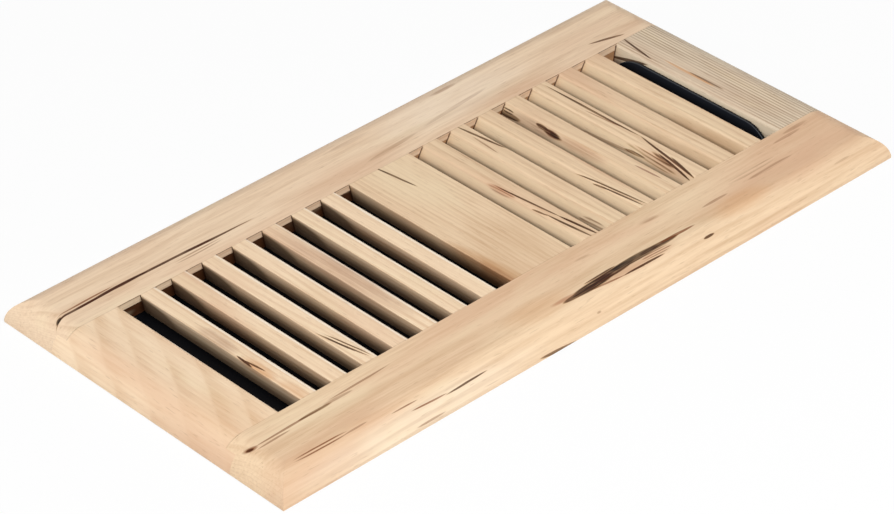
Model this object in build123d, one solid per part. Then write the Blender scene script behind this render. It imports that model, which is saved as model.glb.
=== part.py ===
from build123d import *
import math
import os

# Louvered hardwood floor register for a 4 by 12 inch duct, with a sliding damper.
# Millimetres: X along the length, Y across the width, Z up, underside on Z = 0.

# Frame
frame_length = 368.3
frame_width = 184.15
frame_thickness = 12.0
side_rail_width = 39.4
end_rail_width = 32.85
centre_rail_width = 36.6
edge_round_radius = 12.7
edge_lip_height = 1.4
rail_lip_thickness = 3.5
tenon_length = 6.0

# Louvers, with widths taken along X on the top face and leans in degrees from upright
slats_per_bay = 7
slat_width = 8.9
face_lean = 11.0
bevel_lean = 30.0
bevel_depth = 5.5
blunt_edge_radius = 2.0
sharp_edge_radius = 0.4

# Damper: blades half-lapped over two side runners, with a finger tab on the last blade
damper_thickness = 1.2
blade_lap_length = 4.0
running_clearance = 0.2
side_clearance = 0.4
window_cover = 0.25
window_end_margin = 2.0
damper_end_lap = 1.0
travel_clearance = 0.5
tab_width = 100.0
tab_thickness = 2.0
tab_below_top = 2.2
tab_corner_radius = 19.0
tab_rim_radius = 0.5
tab_clearance = 0.4875

# Retainer strips, countersunk for their screws
retainer_width = 12.7
retainer_thickness = 0.8
retainer_set_back = 1.3
retainer_end_gap = 1.0
screws_per_retainer = 4
screw_end_margin = 12.0
screw_head_radius = 2.5
screw_hole_radius = 1.7

# Extra reach of cutting blocks past the faces that they open
cut_over = 1.0

# Half sizes and plan limits
half_length = frame_length / 2
half_width = frame_width / 2
slot_half = half_width - side_rail_width
tenon_half = slot_half + tenon_length
centre_half = centre_rail_width / 2
field_half = half_length - end_rail_width

# Heights, from the underside up
damper_bottom = retainer_thickness + running_clearance
damper_top = damper_bottom + damper_thickness
louver_bottom = damper_top + running_clearance
louver_depth = frame_thickness - louver_bottom
tenon_top = frame_thickness - rail_lip_thickness
tab_top = frame_thickness - tab_below_top

# Louver spacing: the end slot of each bay leaves room for the tab over its whole travel of half a pitch
lean = math.radians(face_lean)
face_slope = math.tan(lean)
bevel_slope = math.tan(math.radians(bevel_lean))
tab_room = (tab_thickness + 2 * tab_clearance) / math.cos(lean)
slat_pitch = (field_half - centre_half - tab_room) / (slats_per_bay + 0.5)
slat_gap = slat_pitch - slat_width
damper_travel = slat_pitch / 2

# Plan limits on the louvers' undersides, where the leaning faces have moved
face_drift = louver_depth * face_slope
slat_drift = face_drift + min(bevel_depth, louver_depth) * (bevel_slope - face_slope)
field_bottom_half = field_half - face_drift
centre_bottom_half = centre_half - face_drift

# Damper limits, with the damper shut
damper_half_width = tenon_half - side_clearance
damper_left = -(field_bottom_half + damper_end_lap)
damper_recess_end = field_bottom_half + damper_end_lap + damper_travel + travel_clearance
window_width = slat_width - 2 * window_cover
window_half_length = slot_half - window_end_margin
lap_half_length = window_half_length + blade_lap_length
lap_bottom = damper_bottom + damper_thickness / 2
tab_foot = field_half - tab_clearance / math.cos(lean) - (frame_thickness - damper_bottom) * face_slope

# Retainer limits
retainer_inner = slot_half + retainer_set_back
retainer_outer = retainer_inner + retainer_width
retainer_half_length = field_bottom_half - retainer_end_gap
screw_line = (tenon_half + retainer_outer) / 2
screw_reach = retainer_half_length - screw_end_margin


def block(x_limits, y_limits, z_limits):
    """Box between three pairs of limits."""
    limits = (x_limits, y_limits, z_limits)
    centre = [(low + high) / 2 for low, high in limits]
    sizes = [high - low for low, high in limits]
    return Pos(*centre) * Box(*sizes)


def edge_section(span):
    """Section across the whole frame, with the outer edges rounded over down to a thin lip."""
    half = span / 2
    drop = min(frame_thickness - edge_lip_height, edge_round_radius)
    lip = frame_thickness - drop
    round_centre = frame_thickness - edge_round_radius
    end_angle = math.asin((edge_round_radius - drop) / edge_round_radius)
    flat = half - edge_round_radius * math.cos(end_angle)
    sweep = 90 - math.degrees(end_angle)
    base = Polyline((-half, lip), (-half, 0), (half, 0), (half, lip))
    high_round = CenterArc((flat, round_centre), edge_round_radius, 90, -sweep)
    top = Line((flat, frame_thickness), (-flat, frame_thickness))
    low_round = CenterArc((-flat, round_centre), edge_round_radius, 90, sweep)
    return make_face([base, high_round, top, low_round])


def frame_form():
    """Outer form of the whole frame: its two rounded sections meet in mitred corners."""
    lengthwise = extrude(Plane.YZ * edge_section(frame_width), half_length, both=True)
    crosswise = extrude(Plane.XZ * edge_section(frame_length), half_width, both=True)
    return lengthwise & crosswise


def leaning_bar(low, high, low_slope, high_slope, bottom, top, half_span):
    """Bar along Y with low and high X limits on the top face, which drift by their slopes with depth."""

    def corner(x, slope, z):
        return (x + slope * (frame_thickness - z), z)

    outline = Polyline(
        corner(low, low_slope, bottom),
        corner(high, high_slope, bottom),
        corner(high, high_slope, top),
        corner(low, low_slope, top),
        close=True,
    )
    return extrude(Plane.XZ * make_face(outline), half_span, both=True)


def tenoned_bar(low, high, low_slope, high_slope, bottom):
    """Leaning bar that fills the slot length and has tenons under the side rails' lips."""
    faces = (low, high, low_slope, high_slope, bottom)
    shouldered = leaning_bar(*faces, frame_thickness, slot_half)
    tenons = leaning_bar(*faces, tenon_top, tenon_half)
    return shouldered + tenons


def ease_top_edge(bar, end, radius):
    """Round a bar's top edge along Y: the lowest in X for end 0, the highest for end -1."""
    top_edges = bar.edges().filter_by(Axis.Y).group_by(Axis.Z)[-1].sort_by(Axis.X)
    return fillet(top_edges[end], radius)


def slat_low(number):
    """Lower X limit, on the top face, of a slat of the right bay counted from the centre rail."""
    return centre_half + slat_gap + (number - 1) * slat_pitch


def right_slat(number):
    """Louver slat of the right bay, leaning towards its end rail, with a bevel on the foot's side."""
    low = slat_low(number)
    high = low + slat_width
    leaning = tenoned_bar(low - slat_drift + face_drift, high, -face_slope, -face_slope, louver_bottom)
    bevelled = tenoned_bar(low, high, -bevel_slope, -face_slope, louver_bottom)
    bar = ease_top_edge(leaning & bevelled, 0, blunt_edge_radius)
    return ease_top_edge(bar, -1, sharp_edge_radius)


def centre_rail():
    """Rail between the bays, undercut on both sides."""
    bar = tenoned_bar(-centre_half, centre_half, face_slope, -face_slope, louver_bottom)
    bar = ease_top_edge(bar, 0, sharp_edge_radius)
    return ease_top_edge(bar, -1, sharp_edge_radius)


def right_end_rail(form):
    """End rail with a sloping inner face and a recess below for the damper's end."""
    bar = tenoned_bar(field_half, half_length + cut_over, -face_slope, 0, 0)
    bar = ease_top_edge(bar, 0, blunt_edge_radius)
    recess = block(
        (0, damper_recess_end),
        (-tenon_half - cut_over, tenon_half + cut_over),
        (-cut_over, louver_bottom),
    )
    return (bar & form) - recess


def far_side_rail(form):
    """Long rail with a rabbet under its inner lip and a seat for the retainer."""
    rail = form & block(
        (-half_length - cut_over, half_length + cut_over),
        (slot_half, half_width + cut_over),
        (-cut_over, frame_thickness + cut_over),
    )
    rabbet = block(
        (-half_length - cut_over, half_length + cut_over),
        (slot_half - cut_over, tenon_half),
        (-cut_over, tenon_top),
    )
    seat = block(
        (-retainer_half_length, retainer_half_length),
        (tenon_half - cut_over, retainer_outer),
        (-cut_over, retainer_thickness),
    )
    return rail - rabbet - seat


def far_retainer():
    """Flat strip that carries one edge of the damper, countersunk from below."""
    strip = block(
        (-retainer_half_length, retainer_half_length),
        (retainer_inner, retainer_outer),
        (0, retainer_thickness),
    )
    step = 2 * screw_reach / (screws_per_retainer - 1)
    countersink = Cone(screw_head_radius, screw_hole_radius, retainer_thickness)
    holes = [
        Pos(-screw_reach + index * step, screw_line, retainer_thickness / 2) * countersink
        for index in range(screws_per_retainer)
    ]
    return strip - holes


def window_centres():
    """Window places with the damper shut: one under each slat and one under the centre rail."""
    right = [slat_low(number) + slat_width / 2 - slat_drift for number in range(1, slats_per_bay + 1)]
    left = [-centre for centre in reversed(right)]
    return left + [window_cover + window_width / 2 - centre_bottom_half] + right


def blade_limits():
    """X limits of the damper's cross strips, which are the stretches between its windows."""
    centres = window_centres()
    lows = [damper_left] + [centre + window_width / 2 for centre in centres]
    highs = [centre - window_width / 2 for centre in centres] + [tab_foot]
    return list(zip(lows, highs))


def damper_blade(low, high):
    """Flat strip that shuts one louver gap, with half-lapped ends."""
    strip = block((low, high), (-window_half_length, window_half_length), (damper_bottom, damper_top))
    laps = block((low, high), (-lap_half_length, lap_half_length), (lap_bottom, damper_top))
    return strip + laps


def far_runner():
    """Side strip of the damper, notched for the blades' laps."""
    runner = block(
        (damper_left, tab_foot),
        (window_half_length, damper_half_width),
        (damper_bottom, damper_top),
    )
    notches = [
        block(limits, (window_half_length - cut_over, lap_half_length), (lap_bottom, damper_top + cut_over))
        for limits in blade_limits()
    ]
    return runner - notches


def damper_tab():
    """Finger tab that leans with the right end rail's face, with long rounded shoulders and a soft rim."""
    back_face = Plane(
        origin=(tab_foot, 0, damper_bottom),
        x_dir=(0, 1, 0),
        z_dir=(math.cos(lean), 0, -math.sin(lean)),
    )
    rise = (tab_top - damper_bottom - tab_thickness * math.sin(lean)) / math.cos(lean)
    shoulder_drop = min(rise, tab_corner_radius)
    shoulder_reach = math.sqrt(tab_corner_radius**2 - (tab_corner_radius - shoulder_drop) ** 2)
    full_width = tab_width + 2 * (tab_corner_radius - shoulder_reach)
    rounded = Pos(0, rise - full_width / 2) * RectangleRounded(full_width, full_width, tab_corner_radius)
    outline = rounded & Pos(0, rise / 2) * Rectangle(full_width, rise)
    tab = extrude(back_face * outline, -tab_thickness)
    rim = tab.edges().filter_by(GeomType.CIRCLE) + tab.edges().filter_by(Axis.Y).sort_by(Axis.Z)[-2:]
    return fillet(rim, tab_rim_radius)


def build_parts():
    """All pieces by node name."""
    form = frame_form()
    side_rail = far_side_rail(form)
    end_rail = right_end_rail(form)
    retainer = far_retainer()
    runner = far_runner()
    parts = {
        "far_side_rail": side_rail,
        "near_side_rail": mirror(side_rail, about=Plane.XZ),
        "right_end_rail": end_rail,
        "left_end_rail": mirror(end_rail, about=Plane.YZ),
        "centre_rail": centre_rail(),
        "far_retainer": retainer,
        "near_retainer": mirror(retainer, about=Plane.XZ),
        "far_damper_runner": runner,
        "near_damper_runner": mirror(runner, about=Plane.XZ),
    }
    for number in range(1, slats_per_bay + 1):
        slat = right_slat(number)
        parts[f"right_slat_{number}"] = slat
        parts[f"left_slat_{number}"] = mirror(slat, about=Plane.YZ)
    *plain_limits, end_limits = blade_limits()
    for number, limits in enumerate(plain_limits, start=1):
        parts[f"damper_blade_{number}"] = damper_blade(*limits)
    parts["damper_tab_blade"] = damper_blade(*end_limits) + damper_tab()
    return parts


os.makedirs("parts", exist_ok=True)
for node, solid in build_parts().items():
    export_step(solid, f"parts/{node}.step")
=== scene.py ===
"""Dresses a louvered hardwood floor register in unfinished wood and sets it up in a white studio."""

import logging
import math
from dataclasses import dataclass, replace
from enum import Enum
from typing import Any, Mapping, Sequence, Union

import bpy
from mathutils import Matrix, Vector


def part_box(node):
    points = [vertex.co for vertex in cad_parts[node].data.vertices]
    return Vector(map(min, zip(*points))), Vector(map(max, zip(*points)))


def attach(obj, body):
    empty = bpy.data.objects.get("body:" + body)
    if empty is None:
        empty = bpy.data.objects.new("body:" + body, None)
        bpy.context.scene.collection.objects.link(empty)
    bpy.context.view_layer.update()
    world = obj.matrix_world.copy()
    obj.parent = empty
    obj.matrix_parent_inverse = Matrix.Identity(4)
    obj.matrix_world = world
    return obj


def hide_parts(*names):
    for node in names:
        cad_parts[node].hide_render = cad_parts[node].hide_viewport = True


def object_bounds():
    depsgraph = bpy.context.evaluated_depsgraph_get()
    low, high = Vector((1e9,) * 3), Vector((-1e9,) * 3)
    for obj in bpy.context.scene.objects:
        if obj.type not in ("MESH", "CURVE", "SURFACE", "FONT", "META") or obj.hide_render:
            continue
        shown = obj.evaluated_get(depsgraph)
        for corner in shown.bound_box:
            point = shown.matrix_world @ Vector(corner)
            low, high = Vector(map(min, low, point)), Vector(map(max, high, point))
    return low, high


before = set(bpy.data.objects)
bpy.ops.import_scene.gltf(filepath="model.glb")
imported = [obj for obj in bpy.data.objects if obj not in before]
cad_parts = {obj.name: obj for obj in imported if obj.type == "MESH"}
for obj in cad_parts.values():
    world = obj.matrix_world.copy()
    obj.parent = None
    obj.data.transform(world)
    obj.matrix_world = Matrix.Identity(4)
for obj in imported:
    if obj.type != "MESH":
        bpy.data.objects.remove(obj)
cad_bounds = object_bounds()

LOG = logging.getLogger("floor_register")
FRAME_BODY = "register_frame"
SLAT_ATTRIBUTE = "slat"
MILLIMETRE = 0.001
IMAGE_WIDTH = 894.0
TOP = cad_bounds[1][2]
SLOT_HALF = 0.052675
FIELD_HALF = 0.1513
CENTRE_HALF = 0.0183
TENON_DROP = 0.0035
TENON_LEVELS = (0.0083, 0.0087)
FACE_LEAN = math.radians(11.0)
SHARP_ANGLE = math.radians(40.0)
SLAT_SHIFTS = (0.731, 0.0913, 0.0177)
WHITE = (1.0, 1.0, 1.0, 1.0)

Colour = tuple[float, float, float]
Value = Union[float, "Sock"]


class Grain(Enum):
    """Direction in which a board's fibres run."""

    ALONG_LENGTH = "along X"
    ALONG_WIDTH = "along Y"


class Bay(Enum):
    """Louver bay, named by its side of the centre rail."""

    LEFT = "left"
    RIGHT = "right"


class Figure(Enum):
    """Noise in the wood: changes in a metre along and across the grain, detail and roughness."""

    BROAD = (7.0, 26.0, 2.0, 0.5)
    PATCHES = (15.0, 70.0, 3.0, 0.5)
    FIBRES = (34.0, 700.0, 3.0, 0.62)
    THREADS = (24.0, 900.0, 3.0, 0.65)
    PORES = (150.0, 1500.0, 1.0, 0.5)
    SPECKS = (800.0, 800.0, 2.0, 0.5)
    WANDER = (24.0, 90.0, 2.0, 0.5)
    FLOW = (55.0, 110.0, 2.0, 0.5)


def linear(level: int) -> float:
    """Linear value of a display level from 0 to 255."""
    share = level / 255
    return share / 12.92 if share <= 0.04045 else ((share + 0.055) / 1.055) ** 2.4


def srgb(red: int, green: int, blue: int) -> Colour:
    """Linear colour of three display levels."""
    return linear(red), linear(green), linear(blue)


class Sock:
    """Output of a node, which adds Math nodes when it is used in an expression."""

    def __init__(self, graph: "Graph", node: bpy.types.Node, output: str | int = 0) -> None:
        """Keeps what the output belongs to.

        Args:
            graph: Graph of the node.
            node: The node.
            output: The output's name or place.
        """
        self.graph = graph
        self.node = node
        self.output = output

    def __add__(self, other: Value) -> "Sock":
        """Sum."""
        return self.graph.math("ADD", self, other)

    def __radd__(self, other: Value) -> "Sock":
        """Sum with a number on the left."""
        return self.graph.math("ADD", other, self)

    def __sub__(self, other: Value) -> "Sock":
        """Difference."""
        return self.graph.math("SUBTRACT", self, other)

    def __rsub__(self, other: Value) -> "Sock":
        """Difference with a number on the left."""
        return self.graph.math("SUBTRACT", other, self)

    def __mul__(self, other: Value) -> "Sock":
        """Product."""
        return self.graph.math("MULTIPLY", self, other)

    def __truediv__(self, other: Value) -> "Sock":
        """Quotient."""
        return self.graph.math("DIVIDE", self, other)

    def __rtruediv__(self, other: Value) -> "Sock":
        """Quotient with a number on the left."""
        return self.graph.math("DIVIDE", other, self)

    def root(self) -> "Sock":
        """Square root."""
        return self.graph.math("SQRT", self)

    def size(self) -> "Sock":
        """Value without its sign."""
        return self.graph.math("ABSOLUTE", self)

    def fraction(self) -> "Sock":
        """Part after the decimal point."""
        return self.graph.math("FRACT", self)

    def at_most(self, other: Value) -> "Sock":
        """The smaller of two values."""
        return self.graph.math("MINIMUM", self, other)

    def at_least(self, other: Value) -> "Sock":
        """The larger of two values."""
        return self.graph.math("MAXIMUM", self, other)

    def equals(self, number: int) -> "Sock":
        """One where the value is within a half of a whole number, and otherwise zero."""
        return self.graph.math("COMPARE", self, float(number), 0.5)

    def ease(self, low: float, high: float) -> "Sock":
        """Smooth step from zero at low to one at high."""
        sockets = {"Value": self, "From Min": low, "From Max": high}
        return self.graph.node("ShaderNodeMapRange", sockets, interpolation_type="SMOOTHSTEP")


class Graph:
    """Adds nodes and links to one node tree."""

    def __init__(self, tree: bpy.types.NodeTree) -> None:
        """Keeps the tree."""
        self.tree = tree

    def node(
        self,
        kind: str,
        sockets: Mapping[str | int, Any] | None = None,
        output: str | int = 0,
        **settings: Any,
    ) -> Sock:
        """Adds a node.

        Args:
            kind: The node's type.
            sockets: Values or links of its inputs, by name or place.
            output: The output to use, by name or place.
            settings: The node's properties, which are set first.

        Returns:
            The chosen output.
        """
        node = self.tree.nodes.new(kind)
        for name, value in settings.items():
            setattr(node, name, value)
        for name, value in (sockets or {}).items():
            self.feed(node.inputs[name], value)
        return Sock(self, node, output)

    def feed(self, target: bpy.types.NodeSocket, value: Any) -> None:
        """Links an input, or sets its own value.

        Args:
            target: The input.
            value: An output, a list of outputs or a plain value.
        """
        if isinstance(value, Sock):
            value = [value]
        if isinstance(value, list):
            for one in value:
                self.tree.links.new(one.node.outputs[one.output], target)
        else:
            target.default_value = value

    def math(self, operation: str, *values: Value) -> Sock:
        """Result of one Math node."""
        return self.node("ShaderNodeMath", dict(enumerate(values)), operation=operation)

    def vector(self, x: Value, y: Value, z: Value) -> Sock:
        """Vector made of three values."""
        return self.node("ShaderNodeCombineXYZ", {"X": x, "Y": y, "Z": z})

    def split(self, vector: Sock) -> list[Sock]:
        """The three values of a vector."""
        node = self.node("ShaderNodeSeparateXYZ", {"Vector": vector}).node
        return [Sock(self, node, axis) for axis in "XYZ"]

    def noise(self, place: Sock, detail: float, roughness: float = 0.5) -> Sock:
        """Smooth noise from zero to one at a scaled place."""
        sockets = {"Vector": place, "Scale": 1.0, "Detail": detail, "Roughness": roughness}
        return self.node("ShaderNodeTexNoise", sockets)

    def blend(self, share: Value, first: Colour | Sock, second: Colour | Sock) -> Sock:
        """Colour from the first, where the share is zero, to the second, where it is one."""
        ends = [one if isinstance(one, Sock) else (*one, 1.0) for one in (first, second)]
        return self.node("ShaderNodeMix", {0: share, 6: ends[0], 7: ends[1]}, 2, data_type="RGBA")


class ShaderGraph(Graph):
    """Node tree of a new material with one surface shader."""

    def __init__(self, name: str) -> None:
        """Starts an empty material.

        Args:
            name: The material's name.
        """
        self.material = bpy.data.materials.new(name)
        self.material.use_nodes = True
        super().__init__(self.material.node_tree)
        self.tree.nodes.clear()

    def place(self) -> list[Sock]:
        """Object coordinates in metres."""
        return self.split(self.node("ShaderNodeTexCoord", output="Object"))

    def normal(self) -> Sock:
        """Direction that the surface faces."""
        return self.node("ShaderNodeNewGeometry", output="Normal")

    def cloud(self, scale: float, detail: float) -> Sock:
        """Even noise with about so many spots in a metre."""
        return self.noise(self.vector(*(axis * scale for axis in self.place())), detail)

    def deepen(self, colour: Sock, power: Value) -> Sock:
        """Raises a colour's three values to a power, which darkens it and makes it stronger."""
        return self.node("ShaderNodeGamma", {"Color": colour, "Gamma": power})

    def bump(self, height: Sock, strength: float, distance: float) -> Sock:
        """Normal of a surface with relief of about zero to one, as deep as the distance."""
        sockets = {"Height": height, "Strength": strength, "Distance": distance}
        return self.node("ShaderNodeBump", sockets)

    def surface(self, sockets: Mapping[str, Any]) -> bpy.types.Material:
        """Ends the tree in a Principled shader with the given inputs."""
        return self.finish(self.node("ShaderNodeBsdfPrincipled", sockets))

    def finish(self, shader: Sock) -> bpy.types.Material:
        """Ends the tree in any shader."""
        self.node("ShaderNodeOutputMaterial", {"Surface": shader})
        return self.material


PALE_SAPWOOD = srgb(234, 206, 172)
TAN_LATEWOOD = srgb(188, 147, 108)
BRIGHT_SAPWOOD = srgb(242, 216, 184)
BRIGHT_LATEWOOD = srgb(206, 166, 126)
GREY_SAPWOOD = srgb(226, 209, 184)
GREY_LATEWOOD = srgb(150, 120, 94)
ROSE_BLUSH = srgb(212, 168, 136)
CREAM = srgb(238, 217, 182)
HONEY = srgb(208, 150, 98)
GOLD_BROWN = srgb(178, 126, 76)
# Pale tone of some patches, and the painted highlight along bright top edges.
PALE_TONE_AND_HIGHLIGHT = srgb(255, 246, 230)
MAUVE = srgb(152, 104, 82)
ROSE_BROWN = srgb(180, 124, 92)
CATHEDRAL_TAN = srgb(198, 150, 108)
PORE_BROWN = srgb(142, 104, 76)
# Dark brown of the painted shade deep in the slots.
SLOT_SHADE_BROWN = srgb(64, 37, 19)
SEPIA = srgb(128, 76, 42)
UMBER = srgb(70, 34, 16)
CHARCOAL_BROWN = srgb(34, 19, 12)
STAIN_TONES = (UMBER, CHARCOAL_BROWN)
STAIN_WARMTH = 1.6
PORE_SHARE = 0.22
GLUE_SHARE = 0.2
# Share of the painted shadow in the inner corners of the joints.
CORNER_SHADE_SHARE = 0.85
# Depths over which the painted light on the inner faces comes in.
INNER_LIGHT_DEPTHS = (0.0002, 0.0018)
TOP_DEPTHS = (0.0002, 0.0007)
# Depths of the painted shadow line just below the top of a lip.
LIP_START = (0.0, 0.0001)
LIP_END = (0.0003, 0.0007)
GLUE_WIDTHS = (0.0001, 0.0007)
CORNER_WIDTHS = (0.0003, 0.0011)
CORNER_DEPTHS = (0.0002, 0.0008)
RING_RISE = (0.2, 0.85)
RING_FALL = (0.88, 1.0)
THREAD_EDGES = (0.1, 0.34)


@dataclass(frozen=True)
class Streak:
    """Mineral streak, knot or other mark in a board, in millimetres, also used for painted highlights and
    painted shade.

    Attributes:
        along: Centre along the grain.
        across: Centre across the grain.
        half_length: Half of its length along the grain.
        half_width: Half of its width.
        tone: Its colour.
        strength: How much of that colour shows.
        fibres: How far the grain breaks it into threads, from 0 to 1.
        slant: Rise across the grain for each unit along it.
        slat: Number of the slat that has it, or 0 for the whole board or bay.
        threads: Number of parallel lines that it is made of.
        soft: Share of its width over which it fades.
        top_only: Whether it keeps to the top face.
    """

    along: float
    across: float
    half_length: float
    half_width: float
    tone: Colour
    strength: float
    fibres: float
    slant: float = 0.0
    slat: int = 0
    threads: int = 1
    soft: float = 0.5
    top_only: bool = False

    def mask(self, marks: "GrainPlace", gaps: Sock) -> Sock:
        """Share of the streak's colour at each point.

        Args:
            marks: The board's coordinates for streaks.
            gaps: One in the pale gaps between the grain's threads, zero on the threads.

        Returns:
            The share from zero to one.
        """
        off = marks.along - self.along * MILLIMETRE
        along = off * (1 / (self.half_length * MILLIMETRE))
        run = marks.across - self.across * MILLIMETRE - off * self.slant
        across = run * (1 / (self.half_width * MILLIMETRE))
        near = 1 - along * along - across * across
        mask = near.ease(0.0, self.soft) * (1 - gaps * self.fibres) * self.strength
        if self.threads > 1:
            cell = ((across + 1) * (self.threads / 2)).fraction()
            mask = mask * (1 - (cell - 0.5).size().ease(*THREAD_EDGES))
        if self.top_only and marks.inside is not None:
            mask = mask * (1 - marks.inside.ease(*TOP_DEPTHS))
        if self.slat and marks.slat is not None:
            mask = mask * marks.slat.equals(self.slat)
        return mask


@dataclass(frozen=True)
class Blush(Streak):
    """Streak or patch that fades over its whole width."""

    soft: float = 1.0


@dataclass(frozen=True)
class GrainPlace:
    """Coordinates of a board's grain in metres.

    Attributes:
        along: Place along the grain.
        across: Place across the grain.
        depth: Height in the board.
        inside: Depth below the top face on the faces inside the louver field, elsewhere zero.
        slat: Number of the slat.
        end: One on the board's end grain, zero on its sides.
    """

    along: Sock
    across: Sock
    depth: Sock
    inside: Sock | None = None
    slat: Sock | None = None
    end: Sock | None = None

    def figure(self, kind: Figure) -> Sock:
        """Noise that is drawn out along the grain.

        Args:
            kind: Its scales and detail.

        Returns:
            The noise from zero to one.
        """
        graph = self.along.graph
        run, fine, detail, roughness = kind.value
        place = graph.vector(self.along * run, self.across * fine, self.depth * fine)
        return graph.noise(place, detail, roughness)


@dataclass(frozen=True)
class Hardwood:
    """Unfinished sanded hardwood with growth rings, fibres, pores and mineral streaks, and painted light
    and shade on the faces inside the louver field.

    Attributes:
        name: Material name.
        pale: Colour of the early wood.
        tan: Colour of the late wood.
        ring_spacing: Distance between growth rings in metres.
        ring_contrast: Strength of the rings.
        pith_across: Place of the tree's centre across the board.
        pith_depth: Place of the tree's centre in height.
        drift: Sideways run of the rings along the board.
        wave: Reach of the rings' wandering in metres.
        fibre_contrast: Strength of the fine fibres.
        blush: Share of the pinkish patches.
        seam: Distance from the middle to the glue lines at the board's ends, or 0 for none.
        shade_from: Depth in the slots where the painted shade on the inner faces begins.
        shade_to: Depth where the painted shade is darkest.
        shade: Share of the painted shade's dark brown there.
        inner_light_tone: Lighter colour painted on the inner faces below the top edge, as painted light.
        inner_light_share: Share of that painted light.
        lip_shadow_line: Strength of the painted shadow line along the top of a lip.
        wander: Reach of the streaks' sideways wandering in metres.
        seed: Place in the noise that sets this board apart.
        streaks: Its streaks and patches, in the order in which they cover each other.
    """

    name: str
    pale: Colour = PALE_SAPWOOD
    tan: Colour = TAN_LATEWOOD
    ring_spacing: float = 0.0030
    ring_contrast: float = 0.55
    pith_across: float = 0.0
    pith_depth: float = -0.06
    drift: float = 0.01
    wave: float = 0.008
    fibre_contrast: float = 0.95
    blush: float = 0.55
    seam: float = 0.0
    shade_from: float = 0.0005
    shade_to: float = 0.0090
    shade: float = 0.78
    inner_light_tone: Colour = CREAM
    inner_light_share: float = 0.0
    lip_shadow_line: float = 0.0
    wander: float = 0.0014
    seed: float = 0.0
    streaks: tuple[Streak, ...] = ()

    def material(self, graph: ShaderGraph, grain: GrainPlace, marks: GrainPlace) -> bpy.types.Material:
        """Builds the wood on a board's grain coordinates.

        Args:
            graph: Graph of the new material.
            grain: The board's place in its tree.
            marks: Coordinates of its streaks, unrolled over its edges.

        Returns:
            The finished material.
        """
        grain = replace(grain, along=grain.along + self.seed)
        broad = grain.figure(Figure.BROAD)
        patches = grain.figure(Figure.PATCHES)
        fibres = grain.figure(Figure.FIBRES)
        pores = grain.figure(Figure.PORES).ease(0.62, 0.78)

        bend = (broad - 0.5) * self.wave
        sideways = grain.across - self.pith_across + grain.along * self.drift + bend
        height = grain.depth - self.pith_depth + bend * 0.6
        radius = (sideways * sideways + height * height).root()
        ring = (radius * (1 / self.ring_spacing) + (fibres - 0.5) * 0.35).fraction()
        latewood = ring.ease(*RING_RISE) - ring.ease(*RING_FALL)

        strength = patches.ease(0.3, 0.7) * 0.75 + 0.25
        threading = (fibres - 0.42) * self.fibre_contrast
        if grain.end is not None:
            specks = grain.figure(Figure.SPECKS)
            lines = (radius * (2.6 / self.ring_spacing)).fraction().ease(0.7, 0.95)
            threading = threading + ((specks - 0.36) * 0.6 + lines * 0.15 - threading) * grain.end
            latewood = latewood * (1 - grain.end * 0.75)
        tan = latewood * strength * self.ring_contrast + threading
        colour = graph.blend(tan.at_least(0.0).at_most(1.0), self.pale, self.tan)
        colour = graph.blend(broad.ease(0.48, 0.72) * self.blush, colour, ROSE_BLUSH)
        colour = graph.blend(patches.ease(0.52, 0.74) * 0.4, colour, CREAM)
        # Painted light: a lighter tone on the inner faces just below the top edge.
        if marks.inside is not None and self.inner_light_share:
            painted_light = marks.inside.ease(*INNER_LIGHT_DEPTHS) * self.inner_light_share
            colour = graph.blend(painted_light, colour, self.inner_light_tone)

        wander = (grain.figure(Figure.WANDER) - 0.5) * self.wander
        bent = replace(marks, across=marks.across + wander)
        gaps = grain.figure(Figure.THREADS).ease(0.4, 0.6)
        flow = grain.figure(Figure.FLOW).ease(0.25, 0.55) * 0.35 + 0.65
        stain: Value = 0.0
        for streak in self.streaks:
            share = streak.mask(bent, gaps) * flow
            colour = graph.blend(share, colour, streak.tone)
            if streak.tone in STAIN_TONES:
                stain = share.at_least(stain)
        if isinstance(stain, Sock):
            colour = graph.deepen(colour, 1 + stain * (1 - stain) * STAIN_WARMTH)
        colour = graph.blend(pores * PORE_SHARE, colour, PORE_BROWN)
        # Painted shade on the inner faces, darker with depth.
        if marks.inside is not None:
            colour = self.inner_shade(graph, colour, marks.inside)
        if self.seam:
            colour = self.glue_lines_and_corner_shade(graph, colour, marks)

        relief = fibres * 0.5 + latewood * 0.25 - pores * 0.6
        return graph.surface(
            {
                "Base Color": colour,
                "Roughness": 0.55 - latewood * 0.08 + pores * 0.12,
                "Specular IOR Level": 0.1,
                "Normal": graph.bump(relief, 0.3, 0.0002),
            }
        )

    def inner_shade(self, graph: ShaderGraph, colour: Sock, inside: Sock) -> Sock:
        """Paints shade on the faces inside the louver field, darker with depth, and a painted shadow line
        along the top of a lip.

        Args:
            graph: Graph of the material.
            colour: Colour of the wood so far.
            inside: Depth below the top face on those faces.

        Returns:
            The wood's colour with them.
        """
        # Painted shade: dark brown that deepens with depth in the slots.
        dark = inside.ease(self.shade_from, self.shade_to) * self.shade
        colour = graph.blend(dark, colour, SLOT_SHADE_BROWN)
        # Painted shadow line just below the top edge of a lip.
        if self.lip_shadow_line:
            line = inside.ease(*LIP_START) * (1 - inside.ease(*LIP_END))
            colour = graph.blend(line * self.lip_shadow_line, colour, UMBER)
        return colour

    def glue_lines_and_corner_shade(self, graph: ShaderGraph, colour: Sock, marks: GrainPlace) -> Sock:
        """Draws the joints at the board's ends, with a painted shadow in the corner on the inner faces.

        Args:
            graph: Graph of the material.
            colour: Colour of the wood so far.
            marks: Coordinates of its streaks.

        Returns:
            The wood's colour with them.
        """
        off = (marks.along.size() - self.seam).size()
        line = (1 - off.ease(*GLUE_WIDTHS)) * marks.depth.ease(*TENON_LEVELS)
        colour = graph.blend(line * GLUE_SHARE, colour, SEPIA)
        if marks.inside is not None:
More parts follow.
